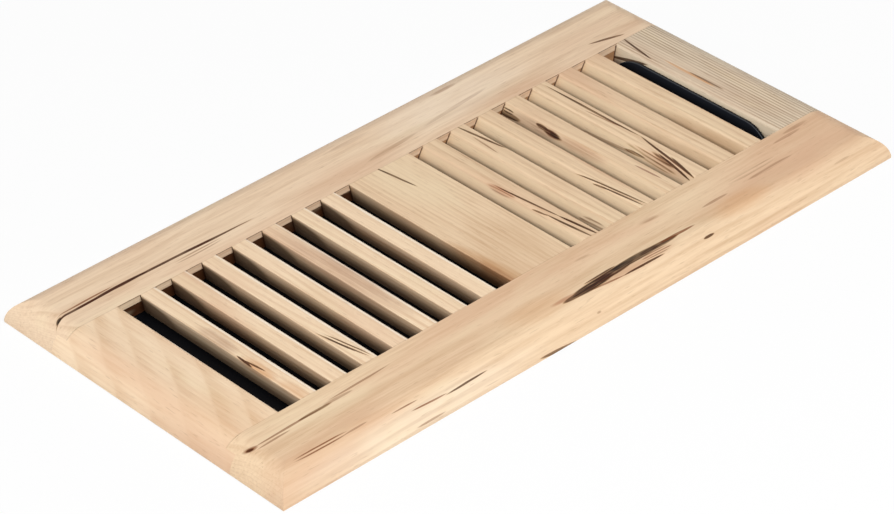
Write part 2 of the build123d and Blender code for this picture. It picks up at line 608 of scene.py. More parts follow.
            # Painted shadow in the inner corner of the joint, below the top edge.
            corner = (1 - off.ease(*CORNER_WIDTHS)) * marks.inside.ease(*CORNER_DEPTHS)
            colour = graph.blend(corner * CORNER_SHADE_SHARE, colour, UMBER)
        return colour


@dataclass(frozen=True)
class SatinBlack:
    """Black moulded plastic or paint with a fine satin texture."""

    name: str
    tone: Colour = (0.003, 0.0033, 0.0042)
    roughness: float = 0.38
    texture: float = 0.12
    gloss: float = 0.14

    def material(self) -> bpy.types.Material:
        """Builds the black finish.

        Returns:
            The finished material.
        """
        graph = ShaderGraph(self.name)
        mottle = graph.cloud(90.0, 3.0)
        lighter = tuple(level * 1.7 for level in self.tone)
        return graph.surface(
            {
                "Base Color": graph.blend(mottle, self.tone, lighter),
                "Roughness": self.roughness + (mottle - 0.5) * 0.14,
                "Specular IOR Level": self.gloss,
                "Normal": graph.bump(graph.cloud(2600.0, 2.0), self.texture, 0.00008),
            }
        )


@dataclass(frozen=True)
class TabPlastic:
    """Black plastic of the finger tab: a smooth front painted darker towards its foot as painted shade, a
    painted highlight on its front edge and painted shade on the rim and back.

    Attributes:
        name: Material name.
        front: Colour of the front face.
        edge: Colour of the painted highlight on the edge around it.
        rim: Colour of the painted shade on the rim and the back.
        fade: Depths below its top between which the front darkens, as painted shade.
        roughness: Roughness of the whole tab.
        gloss: Strength of its mirror reflection.
    """

    name: str
    front: Colour = (0.0155, 0.0178, 0.024)
    edge: Colour = (0.060, 0.064, 0.070)
    rim: Colour = (0.006, 0.0065, 0.008)
    fade: tuple[float, float] = (0.0005, 0.0058)
    roughness: float = 0.4
    gloss: float = 0.06

    def material(self) -> bpy.types.Material:
        """Builds the finish, parted by how far the surface turns from the front, with painted shade and a
        painted highlight.

        Returns:
            The tab's material.
        """
        graph = ShaderGraph(self.name)
        facing = (-math.cos(FACE_LEAN), 0.0, math.sin(FACE_LEAN))
        sides = {0: graph.normal(), 1: facing}
        turn = graph.node("ShaderNodeVectorMath", sides, "Value", operation="DOT_PRODUCT")
        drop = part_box("damper_tab_blade")[1][2] - graph.place()[2]
        # Painted shade: the front darkens towards its foot.
        front = graph.blend(drop.ease(*self.fade), self.front, self.rim)
        # Painted shade on the rim and back, painted highlight on the edge around the front.
        colour = graph.blend(turn.ease(0.25, 0.4), self.rim, self.edge)
        return graph.surface(
            {
                "Base Color": graph.blend(turn.ease(0.75, 0.92), colour, front),
                "Roughness": self.roughness + (graph.cloud(120.0, 3.0) - 0.5) * 0.12,
                "Specular IOR Level": self.gloss,
            }
        )


@dataclass(frozen=True)
class ZincSteel:
    """Bright zinc-plated steel of the small screws."""

    name: str
    tone: Colour = (0.56, 0.55, 0.51)

    def material(self) -> bpy.types.Material:
        """Builds the plated finish.

        Returns:
            The finished material.
        """
        graph = ShaderGraph(self.name)
        cloud = graph.cloud(700.0, 3.0)
        darker = tuple(level * 0.75 for level in self.tone)
        return graph.surface(
            {
                "Base Color": graph.blend(cloud, self.tone, darker),
                "Metallic": 1.0,
                "Roughness": 0.24 + cloud * 0.2,
            }
        )


class GeometryGraph(Graph):
    """Geometry Nodes tree with named inputs, which makes one plain mesh piece."""

    def __init__(self, name: str, inputs: Mapping[str, int | float | bpy.types.Material]) -> None:
        """Makes the tree's interface.

        Args:
            name: Name of the tree and of the piece.
            inputs: Value of each named input.
        """
        super().__init__(bpy.data.node_groups.new(name, "GeometryNodeTree"))
        self.name = name
        self.values: dict[str, Any] = {}
        interface = self.tree.interface
        interface.new_socket("Geometry", in_out="OUTPUT", socket_type="NodeSocketGeometry")
        for label, value in inputs.items():
            kind = "Int" if isinstance(value, int) else "Float"
            if isinstance(value, bpy.types.Material):
                kind = "Material"
            socket = interface.new_socket(label, in_out="INPUT", socket_type=f"NodeSocket{kind}")
            self.values[socket.identifier] = value
        self.inputs = self.node("NodeGroupInput").node

    def given(self, label: str) -> Sock:
        """Named input of the tree."""
        return Sock(self, self.inputs, label)

    def boolean(self, operation: str, meshes: list[Sock], base: Sock | None = None) -> Sock:
        """Joins meshes into one solid, or cuts them from a base."""
        sockets = {"Mesh 2": meshes} if base is None else {"Mesh 1": base, "Mesh 2": meshes}
        return self.node("GeometryNodeMeshBoolean", sockets, operation=operation, solver="EXACT")

    def row(self, mesh: Sock, count: Value, start: Sock, step: Sock, turn: Value = 0.0) -> Sock:
        """Copies of a mesh in a straight row.

        Args:
            mesh: The mesh.
            count: Number of copies.
            start: Place of the first.
            step: Way from each to the next.
            turn: Turn of each about the upright.

        Returns:
            The instances.
        """
        line = {"Count": count, "Start Location": start, "Offset": step}
        points = self.node("GeometryNodeMeshLine", line)
        sockets = {"Points": points, "Instance": mesh, "Rotation": self.vector(0.0, 0.0, turn)}
        return self.node("GeometryNodeInstanceOnPoints", sockets)

    def piece(self, geometry: Sock, material: Sock) -> bpy.types.Object:
        """Realizes the tree on a new object and keeps its plain mesh.

        Args:
            geometry: The tree's geometry.
            material: The material to set on it.

        Returns:
            The finished object, at the origin and without the modifier.
        """
        real = self.node("GeometryNodeRealizeInstances", {"Geometry": geometry})
        dressed = self.node("GeometryNodeSetMaterial", {"Geometry": real, "Material": material})
        self.node("NodeGroupOutput", {0: dressed})
        piece = bpy.data.objects.new(self.name, bpy.data.meshes.new(self.name))
        bpy.context.scene.collection.objects.link(piece)
        modifier = piece.modifiers.new(self.name, "NODES")
        modifier.node_group = self.tree
        for identifier, value in self.values.items():
            modifier[identifier] = value
        evaluated = piece.evaluated_get(bpy.context.evaluated_depsgraph_get())
        mesh = bpy.data.meshes.new_from_object(evaluated)
        piece.modifiers.remove(modifier)
        piece.data = mesh
        mesh.shade_smooth()
        mesh.set_sharp_from_angle(angle=SHARP_ANGLE)
        return piece


@dataclass
class LouverBay:
    """Leaning slats of one bay, numbered from the centre rail outwards, in metres.

    Attributes:
        bay: Side of the centre rail.
        wood: Their finish.
        slats: Number of slats.
        slat_width: Width along X on the top face.
        bevel_lean: Lean of the bevel on the centre rail's side.
        bevel_depth: Depth of the bevel's foot below the top face.
        blunt_radius: Rounding of the obtuse top edge.
        sharp_radius: Rounding of the acute top edge.
        edge_steps: Segments of each rounding.
        far_shade: How much sooner the painted shade on the faces deepens with depth near the far side rail.
        far_start: Distance from the middle where that begins.
    """

    bay: Bay
    wood: Hardwood
    slats: int = 7
    slat_width: float = 0.0089
    bevel_lean: float = math.radians(30.0)
    bevel_depth: float = 0.0055
    blunt_radius: float = 0.002
    sharp_radius: float = 0.0004
    edge_steps: int = 6
    far_shade: float = 0.0
    far_start: float = 0.028

    def __post_init__(self) -> None:
        """Reads the slats' places from the CAD nodes and works out how far their faces drift with depth."""
        self.nodes = [f"{self.bay.value}_slat_{number}" for number in range(1, self.slats + 1)]
        low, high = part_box(self.nodes[0])
        next_low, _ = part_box(self.nodes[1])
        self.top = high[2]
        self.depth = high[2] - low[2]
        self.tenon_half = high[1]
        self.pitch = next_low[0] - low[0]
        plain = [math.tan(FACE_LEAN) * depth for depth in (self.bevel_depth, self.depth)]
        knee = math.tan(self.bevel_lean) * self.bevel_depth
        bevel = [knee, knee + plain[1] - plain[0]]
        if self.bay is Bay.RIGHT:
            self.first = low[0] + bevel[1]
            self.low_knee, self.low_foot = -bevel[0], -bevel[1]
            self.high_knee, self.high_foot = -plain[0], -plain[1]
        else:
            self.first = high[0] - bevel[1] - self.slat_width
            self.low_knee, self.low_foot = plain
            self.high_knee, self.high_foot = bevel

    def build(self) -> bpy.types.Object:
        """Makes the bay's slats as one mesh.

        Returns:
            The slats, on the register's frame.
        """
        graph = GeometryGraph(
            f"{self.bay.value}_bay_slats",
            {
                "Slats": self.slats,
                "Pitch": self.pitch,
                "First Edge": self.first,
                "Top": self.top,
                "Width": self.slat_width,
                "Depth": self.depth,
                "Knee Depth": self.bevel_depth,
                "Low Knee": self.low_knee,
                "Low Foot": self.low_foot,
                "High Knee": self.high_knee,
                "High Foot": self.high_foot,
                "Slot Half": SLOT_HALF,
                "Tenon Half": self.tenon_half,
                "Tenon Drop": TENON_DROP,
                "Low Edge Radius": self.edge_radius(Bay.RIGHT),
                "High Edge Radius": self.edge_radius(Bay.LEFT),
                "Wood": self.finish(),
            },
        )
        given = graph.given
        body = self.bar(graph, 0.0, given("Slot Half"))
        tenons = self.bar(graph, given("Tenon Drop"), given("Tenon Half"), eased=False)
        slat = graph.boolean("UNION", [body, tenons])
        start = graph.vector(given("First Edge"), 0.0, given("Top"))
        row = graph.row(slat, given("Slats"), start, graph.vector(given("Pitch"), 0.0, 0.0))
        number = graph.node("GeometryNodeInputIndex") + 1.0
        numbered = graph.node(
            "GeometryNodeStoreNamedAttribute",
            {"Geometry": row, "Name": SLAT_ATTRIBUTE, "Value": number},
            data_type="FLOAT",
            domain="INSTANCE",
        )
        piece = graph.piece(numbered, given("Wood"))
        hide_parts(*self.nodes)
        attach(piece, FRAME_BODY)
        return piece

    def edge_radius(self, blunt_in: Bay) -> float:
        """Radius of a top edge that is the obtuse one in the given bay."""
        return self.blunt_radius if self.bay is blunt_in else self.sharp_radius

    def bar(self, graph: GeometryGraph, start: Value, half: Sock, eased: bool = True) -> Sock:
        """Leaning bar along Y, from a depth below the top face down to the slats' underside.

        Args:
            graph: The bay's tree.
            start: Depth of the bar's top.
            half: Half of its length.
            eased: Whether its top edges are rounded.

        Returns:
            The bar's mesh.
        """
        given = graph.given
        width, depth, knee = given("Width"), given("Depth"), given("Knee Depth")
        low_knee, high_knee = given("Low Knee"), given("High Knee")
        share = start / knee
        corners = (
            (low_knee * share, start),
            (width + high_knee * share, start),
            (width + high_knee, knee),
            (width + given("High Foot"), depth),
            (given("Low Foot"), depth),
            (low_knee, knee),
        )
        index = graph.node("GeometryNodeInputIndex")
        at_corner = [index.equals(number) for number in range(len(corners))]
        x = sum((here * corner[0] for here, corner in zip(at_corner, corners)), 0.0)
        y = sum((here * corner[1] for here, corner in zip(at_corner, corners)), 0.0)
        outline = {"Resolution": len(corners)}
        loop = graph.node("GeometryNodeCurvePrimitiveCircle", outline, mode="RADIUS")
        placed = {"Geometry": loop, "Position": graph.vector(x, y, 0.0)}
        section = graph.node("GeometryNodeSetPosition", placed)
        if eased:
            radius = at_corner[0] * given("Low Edge Radius") + at_corner[1] * given("High Edge Radius")
            rounding = {"Curve": section, "Count": self.edge_steps, "Radius": radius}
            section = graph.node("GeometryNodeFilletCurve", rounding, mode="POLY")
        ends = {"Start": graph.vector(0.0, half * -1.0, 0.0), "End": graph.vector(0.0, half, 0.0)}
        path = graph.node("GeometryNodeCurvePrimitiveLine", ends)
        sweep = {"Curve": path, "Profile Curve": section, "Fill Caps": True}
        return graph.node("GeometryNodeCurveToMesh", sweep)

    def finish(self) -> bpy.types.Material:
        """Wood whose grain unrolls over each slat's top and left face.

        Returns:
            The slats' material.
        """
        graph = ShaderGraph(self.wood.name)
        x, y, z = graph.place()
        slat = graph.node("ShaderNodeAttribute", output="Fac", attribute_name=SLAT_ATTRIBUTE)
        depth = self.top - z
        edge = self.first + (slat - 1.0) * self.pitch
        above = depth.at_most(self.bevel_depth)
        upper_slope = self.low_knee / self.bevel_depth
        lower_slope = (self.low_foot - self.low_knee) / (self.depth - self.bevel_depth)
        left_face = edge + above * upper_slope + (depth - above) * lower_slope
        across = x - left_face - depth * math.hypot(1.0, upper_slope)
        spread = [place + slat * shift for place, shift in zip((y, across, z), SLAT_SHIFTS)]
        # Depth for the painted shade, which sets in sooner towards the far side rail.
        inside = depth * (y.ease(self.far_start, SLOT_HALF) * self.far_shade + 1)
        marks = GrainPlace(y, across, z, inside, slat)
        return self.wood.material(graph, GrainPlace(*spread), marks)


@dataclass
class SlotWalls:
    """Wood that closes the side rails' grooves between the tenons, coloured the dark brown of painted
    shade, in metres.

    Attributes:
        wood: Its finish, the dark brown of painted shade.
        set_back: How far it stands behind the rails' lips.
        thickness: Its thickness.
    """

    wood: Hardwood
    set_back: float = 0.0001
    thickness: float = 0.002

    def build(self) -> bpy.types.Object:
        """Makes both walls as one mesh.

        Returns:
            The walls, on the register's frame.
        """
        low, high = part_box("right_slat_1")
        top = high[2] - TENON_DROP
        graph = GeometryGraph(
            "slot_walls",
            {
                "Length": 2 * FIELD_HALF,
                "Thickness": self.thickness,
                "Height": top - low[2],
                "Level": (top + low[2]) / 2,
                "Line": SLOT_HALF + self.set_back + self.thickness / 2,
                "Wood": self.finish(),
            },
        )
        given = graph.given
        size = graph.vector(given("Length"), given("Thickness"), given("Height"))
        wall = graph.node("GeometryNodeMeshCube", {"Size": size})
        start = graph.vector(0.0, given("Line") * -1.0, given("Level"))
        pair = graph.row(wall, 2, start, graph.vector(0.0, given("Line") * 2.0, 0.0))
        piece = graph.piece(pair, given("Wood"))
        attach(piece, FRAME_BODY)
        return piece

    def finish(self) -> bpy.types.Material:
        """Wood with its grain along the part.

        Returns:
            The walls' material.
        """
        graph = ShaderGraph(self.wood.name)
        place = GrainPlace(*graph.place())
        return self.wood.material(graph, place, place)


@dataclass(frozen=True)
class Board:
    """A rail of the frame.

    Attributes:
        node: Its CAD node.
        grain: The way its grain runs.
        outer_side: Sign of the side across the grain where it is rounded over, or 0 for none.
        inner_limit: Distance of its inner face from the middle, across the grain.
        wood: Its finish.
    """

    node: str
    grain: Grain
    outer_side: int
    inner_limit: float
    wood: Hardwood


@dataclass
class RegisterFrame:
    """The five rails of the frame, each in its own board of wood.

    Attributes:
        boards: The rails.
        inner_step: Distance over which a rail's inner face is told from its top.
        end_turn: Shares of turn towards the grain between which a face becomes end grain.
    """

    boards: Sequence[Board]
    inner_step: float = 0.0002
    end_turn: tuple[float, float] = (0.35, 0.8)

    def dress(self) -> None:
        """Gives each rail's CAD node its wood."""
        for board in self.boards:
            graph = ShaderGraph(board.wood.name)
            x, y, z = graph.place()
            faces = graph.split(graph.normal())
            along, across, end = x, y, faces[0]
            if board.grain is Grain.ALONG_WIDTH:
                along, across, end = y, x, faces[1]
            drop = TOP - z
            limits = board.inner_limit, board.inner_limit + self.inner_step
            inside = drop * (1 - across.size().ease(*limits))
            place = GrainPlace(along, across, z, end=end.size().ease(*self.end_turn))
            marks = GrainPlace(along, across + drop * float(board.outer_side), z, inside)
            paint_node(board.node, board.wood.material(graph, place, marks))


@dataclass
class Damper:
    """The sliding damper: two runners and the window blades, and the blade with the finger tab."""

    smooth: SatinBlack
    tab: TabPlastic
    blades: int = 15

    def dress(self) -> None:
        """Gives each of the damper's CAD nodes its plastic."""
        smooth = self.smooth.material()
        names = [f"damper_blade_{number}" for number in range(1, self.blades + 1)]
        for name in ("near_damper_runner", "far_damper_runner", *names):
            paint_node(name, smooth)
        paint_node("damper_tab_blade", self.tab.material())


@dataclass
class Fastenings:
    """The two retainer strips and the countersunk screws that hold them, in metres.

    Attributes:
        paint: Finish of the strips.
        plating: Finish of the screws.
        per_strip: Screws in each strip.
        end_margin: Distance of the outer screws from the strip's ends.
        head_radius: Radius of a screw's head at its face.
        shank_radius: Radius at the bottom of the countersink.
        shank_length: Length of the shank above that.
        tip_share: Radius of the shank's tip as a share of the shank's.
        sides: Flats around a screw.
        line: Distance of each screw line from the middle.
        recess_length: Length of the cross recess.
        recess_width: Width of its arms.
        recess_depth: Depth of the recess.
        sink: How far the face lies inside the strip.
        turn_step: Turn of each screw against the one before, in radians.
        turn_start: Turn of each strip's first screw.
    """

    paint: SatinBlack
    plating: ZincSteel
    per_strip: int = 4
    end_margin: float = 0.012
    head_radius: float = 0.00242
    shank_radius: float = 0.0016
    shank_length: float = 0.004
    tip_share: float = 0.35
    sides: int = 28
    line: float = 0.062675
    recess_length: float = 0.0026
    recess_width: float = 0.00055
    recess_depth: float = 0.0009
    sink: float = 0.00005
    turn_step: float = 0.9
    turn_start: float = 0.2

    def dress(self) -> None:
        """Paints the strips."""
        material = self.paint.material()
        for name in ("near_retainer", "far_retainer"):
            paint_node(name, material)

    def build(self) -> bpy.types.Object:
        """Makes all screws as one mesh.

        Returns:
            The screws, on the register's frame.
        """
        low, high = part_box("far_retainer")
        outer = high[0] - self.end_margin
        graph = GeometryGraph(
            "retainer_screws",
            {
                "Screws": self.per_strip,
                "Step": 2 * outer / (self.per_strip - 1),
                "First": -outer,
                "Line": self.line,
                "Face": low[2] + self.sink,
                "Head Depth": high[2] - low[2] - self.sink,
                "Head Radius": self.head_radius,
                "Shank Radius": self.shank_radius,
                "Shank Length": self.shank_length,
                "Recess Length": self.recess_length,
                "Recess Width": self.recess_width,
                "Recess Depth": self.recess_depth,
                "Plating": self.plating.material(),
            },
        )
        given = graph.given
        screw = self.screw(graph)
        step = graph.vector(given("Step"), 0.0, 0.0)
        rows = []
        for side in (-1.0, 1.0):
            start = graph.vector(given("First"), given("Line") * side, given("Face"))
            turn = graph.node("GeometryNodeInputIndex") * self.turn_step + self.turn_start * side
            rows.append(graph.row(screw, given("Screws"), start, step, turn))
        both = graph.node("GeometryNodeJoinGeometry", {"Geometry": rows})
        piece = graph.piece(both, given("Plating"))
        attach(piece, FRAME_BODY)
        return piece

    def screw(self, graph: GeometryGraph) -> Sock:
        """One countersunk screw with its face down at height zero.

        Args:
            graph: The screws' tree.

        Returns:
            The screw's mesh.
        """
        given = graph.given
        radius, head_depth = given("Shank Radius"), given("Head Depth")
        head = self.cone(graph, radius, given("Head Radius"), head_depth)
        shank = self.cone(graph, radius * self.tip_share, radius, given("Shank Length"))
        lift = {"Geometry": shank, "Translation": graph.vector(0.0, 0.0, head_depth)}
        solid = graph.boolean("UNION", [head, graph.node("GeometryNodeTransform", lift)])
        length, width = given("Recess Length"), given("Recess Width")
        depth = given("Recess Depth") * 2.0
        sizes = [graph.vector(*size, depth) for size in ((length, width), (width, length))]
        arms = [graph.node("GeometryNodeMeshCube", {"Size": size}) for size in sizes]
        return graph.boolean("DIFFERENCE", arms, solid)

    def cone(self, graph: GeometryGraph, top: Sock, bottom: Sock, depth: Sock) -> Sock:
        """Cone that stands on height zero, with its radii and its height."""
        sockets = {"Vertices": self.sides, "Radius Top": top, "Radius Bottom": bottom, "Depth": depth}
        return graph.node("GeometryNodeMeshCone", sockets)


@dataclass
class Studio:
    """White floor, soft light and the camera, in metres and radians.

    Attributes:
        ambient: Level of the white room.
        key_power: Power of the large lamp on the camera's side.
        key_direction: Direction from the object to that lamp.
        key_size: Its side length.
        fill_power: Power of the low lamp on the left.
        fill_direction: Direction to that lamp.
        fill_size: Its side length.
        lamp_distance: Distance of both lamps.
        floor_half: Half of the floor's side.
        floor_drop: How far the floor lies under the register.
        floor_tone: Brightness of the floor in the light.
        floor_glow: Share of plain white in the floor's look near the object, the rest being lit.
        floor_clear: Distances between which the floor turns to plain white.
        camera_turn: The camera's azimuth.
        camera_rise: Its elevation.
        camera_roll: Its roll.
        camera_distance: Its distance from the middle of the top face.
        camera_right: Its offset to the right.
        camera_up: Its offset upwards.
        camera_reach: Distance to which it sees.
        focal_pixels: Focal length in pixels of the picture.
        sensor: Width of its sensor in millimetres.
    """

    ambient: float = 0.15
    key_power: float = 36.6
    key_direction: tuple[float, float, float] = (-0.12, -0.62, 0.77)
    key_size: float = 0.9
    fill_power: float = 17.6
    fill_direction: tuple[float, float, float] = (-0.84, 0.39, 0.375)
    fill_size: float = 1.6
    lamp_distance: float = 2.0
    floor_half: float = 4.0
    floor_drop: float = 0.0004
    floor_tone: float = 0.9
    floor_glow: float = 0.9
    floor_clear: tuple[float, float] = (0.3, 1.0)
    camera_turn: float = -0.737405
    camera_rise: float = 0.609477
    camera_roll: float = -0.0244702
    camera_distance: float = 1.741576
    camera_right: float = -0.005212
    camera_up: float = -0.018477
    camera_reach: float = 50.0
    focal_pixels: float = 3927.38
    sensor: float = 36.0

    def build(self) -> None:
        """Makes the floor, the light and the camera."""
        self.floor()
        self.room()
        self.lamp("key_lamp", self.key_power, self.key_direction, self.key_size)
        self.lamp("fill_lamp", self.fill_power, self.fill_direction, self.fill_size)
        self.camera()
        bpy.context.scene.view_settings.view_transform = "Standard"

    def floor(self) -> None:
        """Lays a white floor just under the register."""
        half = self.floor_half
        corners = [(-half, -half), (half, -half), (half, half), (-half, half)]
        mesh = bpy.data.meshes.new("studio_floor")
        mesh.from_pydata([(x, y, -self.floor_drop) for x, y in corners], [], [(0, 1, 2, 3)])
        floor = bpy.data.objects.new("studio_floor", mesh)
        bpy.context.scene.collection.objects.link(floor)
        graph = ShaderGraph("white_floor")
        tone = self.floor_tone
        matt = graph.node("ShaderNodeBsdfDiffuse", {"Color": (tone, tone, tone, 1.0)})
        glow = graph.node("ShaderNodeEmission", {"Color": WHITE, "Strength": 1.0})
        x, y, _ = graph.place()
        far = (x * x + y * y).root().ease(*self.floor_clear)
        seen = self.seen(graph) * (self.floor_glow + far * (1 - self.floor_glow))
        mixed = graph.node("ShaderNodeMixShader", {0: seen, 1: matt, 2: glow})
        mesh.materials.append(graph.finish(mixed))

    @staticmethod
    def seen(graph: Graph) -> Sock:
        """One for rays that show the background: straight, mirrored or refracted.

        Args:
            graph: Graph of the floor or the room.

        Returns:
            One for those rays, zero for the rest.
        """
        straight = graph.node("ShaderNodeLightPath", output="Is Camera Ray")
        mirrored = Sock(graph, straight.node, "Is Glossy Ray")
        return straight.at_least(mirrored).at_least(Sock(graph, straight.node, "Is Transmission Ray"))

    def room(self) -> None:
        """Surrounds the object with even white light."""
        world = bpy.data.worlds.new("white_room")
        world.use_nodes = True
        world.node_tree.nodes.clear()
        graph = Graph(world.node_tree)
        level = self.ambient + self.seen(graph) * (1 - self.ambient)
        white = graph.node("ShaderNodeBackground", {"Color": WHITE, "Strength": level})
        graph.node("ShaderNodeOutputWorld", {"Surface": white})
        bpy.context.scene.world = world

    def lamp(self, name: str, power: float, direction: Sequence[float], size: float) -> None:
        """Hangs a square soft lamp that faces the object.

        Args:
            name: Its name.
            power: Its power in watts.
            direction: Direction from the object to the lamp.
            size: Its side length.
        """
        data = bpy.data.lights.new(name, "AREA")
        data.energy = power
        data.size = size
        lamp = bpy.data.objects.new(name, data)
        away = Vector(direction).normalized()
        lamp.location = away * self.lamp_distance
        lamp.rotation_euler = away.to_track_quat("Z", "Y").to_euler()
        bpy.context.scene.collection.objects.link(lamp)

    def camera(self) -> None:
        """Places the camera at the photograph's angle."""
        turn, rise, roll = self.camera_turn, self.camera_rise, self.camera_roll
        level_reach = math.cos(rise)
        ahead = Vector((-math.sin(turn) * level_reach, math.cos(turn) * level_reach, -math.sin(rise)))
        level = ahead.cross(Vector((0.0, 0.0, 1.0))).normalized()
        upright = level.cross(ahead)
        right = level * math.cos(roll) + upright * math.sin(roll)
        above = upright * math.cos(roll) - level * math.sin(roll)
        data = bpy.data.cameras.new("camera")
        data.sensor_width = self.sensor
        data.sensor_fit = "HORIZONTAL"
        data.lens = self.focal_pixels * self.sensor / IMAGE_WIDTH
        data.clip_end = self.camera_reach
        camera = bpy.data.objects.new("camera", data)
        place = Vector((0.0, 0.0, TOP)) - ahead * self.camera_distance
        place += right * self.camera_right + above * self.camera_up
        turned = Matrix((right, above, -ahead)).transposed().to_4x4()
        camera.matrix_world = Matrix.Translation(place) @ turned
        bpy.context.scene.collection.objects.link(camera)
        bpy.context.scene.camera = camera


def paint_node(node: str, material: bpy.types.Material) -> None:
    """Puts a material on a CAD node.

    Args:
        node: The node's name.
        material: Its finish.
    """
    for material_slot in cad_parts[node].material_slots:
        material_slot.material = material
    LOG.info("%s: %s", node, material.name)


NEAR_STREAKS = (
    Blush(-108, -97.0, 85, 13.0, PALE_TONE_AND_HIGHLIGHT, 0.25, 0.1),
    Blush(140, -68.0, 60, 24.0, ROSE_BLUSH, 0.45, 0.2),
    Blush(97, -80.4, 22, 9.0, HONEY, 0.4, 0.2),
    Blush(-25, -76.0, 24, 9.0, HONEY, 0.3, 0.2),
    Streak(-176, -63.8, 3.6, 1.6, SEPIA, 0.9, 0.1, soft=0.9),
    Streak(-176.5, -63.9, 1.8, 1.0, UMBER, 0.7, 0.0, soft=0.9),
    Streak(-155.5, -63.4, 21, 0.7, SEPIA, 0.75, 0.2, 0.01),
    Streak(-141, -63.1, 10, 1.0, UMBER, 0.55, 0.3),
    Streak(-128, -62.5, 9, 1.0, SEPIA, 0.5, 0.4, -0.03),
    Streak(-165.5, -65.5, 10, 0.6, SEPIA, 0.65, 0.1, 0.02),
    Streak(-114.5, -60.8, 19, 0.6, SEPIA, 0.65, 0.2, 0.02),
    Streak(-154.5, -82.5, 17, 1.8, SEPIA, 0.95, 0.1, -0.02, threads=2),
    Streak(-136, -83.2, 7, 0.6, SEPIA, 0.5, 0.1, 0.02),
    Streak(-111, -86.6, 8, 0.5, SEPIA, 0.9, 0.1, -0.02),
    Streak(-99.5, -91.6, 11, 0.6, SEPIA, 0.9, 0.2, -0.06),
    Streak(-79, -92.7, 13, 0.65, UMBER, 0.8, 0.1, 0.01),
    Streak(-102, -101.3, 9, 0.7, SEPIA, 0.7, 0.2),
    Streak(-28, -103.4, 12, 1.0, UMBER, 0.7, 0.3, -0.08),
    Blush(31, -81.8, 27, 5.6, ROSE_BROWN, 0.45, 0.5, 0.01),
    Blush(-12, -78.7, 9, 1.6, ROSE_BROWN, 0.8, 0.2),
    Streak(-3, -80.2, 12, 1.7, UMBER, 1.0, 0.2, 0.03),
    Streak(5, -79.7, 14, 3.0, UMBER, 1.0, 0.5, 0.04),
    Streak(4, -79.7, 14, 2.7, CHARCOAL_BROWN, 0.9, 0.3, 0.04, threads=3),
    Streak(18, -78.8, 14, 2.6, UMBER, 0.95, 0.5, 0.03),
    Streak(32, -78.2, 17, 2.4, CHARCOAL_BROWN, 0.95, 0.5, -0.02),
    Streak(46, -78.6, 13, 1.8, UMBER, 0.9, 0.5, -0.03),
    Streak(58, -78.2, 12, 1.0, SEPIA, 0.85, 0.2, -0.03),
    Streak(12, -76.2, 10.5, 0.6, UMBER, 0.85, 0.1, 0.02),
    Streak(10.5, -83.0, 11, 0.6, SEPIA, 0.8, 0.2, -0.11),
    Streak(32, -84.5, 13.5, 0.75, UMBER, 0.9, 0.2, -0.03),
    Streak(42, -82.0, 9.5, 2.1, SEPIA, 0.75, 0.1, -0.05, threads=3),
    Blush(15.5, -62.0, 5.5, 1.0, SEPIA, 0.4, 0.3, -0.06),
    Blush(57, -61.6, 7, 1.6, SEPIA, 0.45, 0.5, -0.1),
    Streak(69.5, -89.1, 3.6, 1.0, UMBER, 0.8, 0.1),
    Streak(89, -71.5, 9, 0.8, SEPIA, 0.6, 0.2),
    Streak(118, -66.5, 18, 2.0, SEPIA, 0.5, 0.7, threads=2),
    Streak(126, -70.5, 16, 1.4, SEPIA, 0.45, 0.8),
    Streak(158, -56.0, 9, 1.2, SEPIA, 0.55, 0.5),
    Streak(150, -58.5, 10, 1.0, SEPIA, 0.5, 0.5),
    Streak(156, -89.5, 6, 0.8, SEPIA, 0.35, 0.4),
    Blush(-2, -95.8, 1.6, 0.9, SEPIA, 0.7, 0.0),
)
FAR_STREAKS = (
    Blush(62, 72.0, 55, 18.0, PALE_TONE_AND_HIGHLIGHT, 0.22, 0.1),
    Streak(-160, 63.6, 21, 0.9, UMBER, 1.0, 0.0, 0.02),
    Streak(-176, 63.7, 2.4, 1.1, CHARCOAL_BROWN, 0.9, 0.0, soft=0.9),
    Streak(-140, 64.3, 16, 1.1, UMBER, 1.0, 0.1),
    Streak(-108, 63.6, 44, 0.9, UMBER, 1.0, 0.0, -0.026),
    Streak(-159.5, 65.7, 17, 0.6, SEPIA, 0.9, 0.1, 0.02),
    Streak(-100, 60.2, 16, 1.6, SEPIA, 0.6, 0.2, 0.02, threads=2),
    Blush(66, 81.0, 10, 1.8, SEPIA, 0.6, 0.4),
    Blush(4, 78.6, 16, 1.8, SEPIA, 0.35, 0.4),
    Streak(16, 61.3, 18, 1.4, SEPIA, 0.35, 0.4, 0.08),
    Streak(60, 66.0, 24, 1.4, SEPIA, 0.3, 0.4, 0.1),
    Streak(151, 58.7, 10, 0.9, UMBER, 0.75, 0.2, -0.28),
)
CENTRE_STREAKS = (
    Blush(34, 4.0, 34, 18.0, CREAM, 0.5, 0.1),
    Blush(-34, 0.0, 34, 22.0, TAN_LATEWOOD, 0.3, 0.3),
    Blush(-42, -18.3, 42, 8.0, GOLD_BROWN, 0.75, 0.2, -0.07),
    Blush(-46, -18.4, 32, 3.2, SEPIA, 0.5, 0.3, -0.06),
    Streak(43, 0.8, 14, 0.65, UMBER, 0.9, 0.1, -0.145),
)
RIGHT_END_STREAKS = (
    Streak(43, 155.2, 13, 0.7, UMBER, 0.85, 0.1, 0.17),
    Streak(10, 157.0, 18, 1.0, HONEY, 0.8, 0.3),
    Streak(0, 158.0, 12, 0.7, UMBER, 0.6, 0.3),
)
LEFT_END_STREAKS = (
    Blush(-45, -168.0, 36, 18.0, HONEY, 0.22, 0.1),
    # Painted highlight along the end rail's inner top edge.
    Streak(0, -151.7, 60, 0.55, PALE_TONE_AND_HIGHLIGHT, 0.7, 0.0, soft=0.8, top_only=True),
)
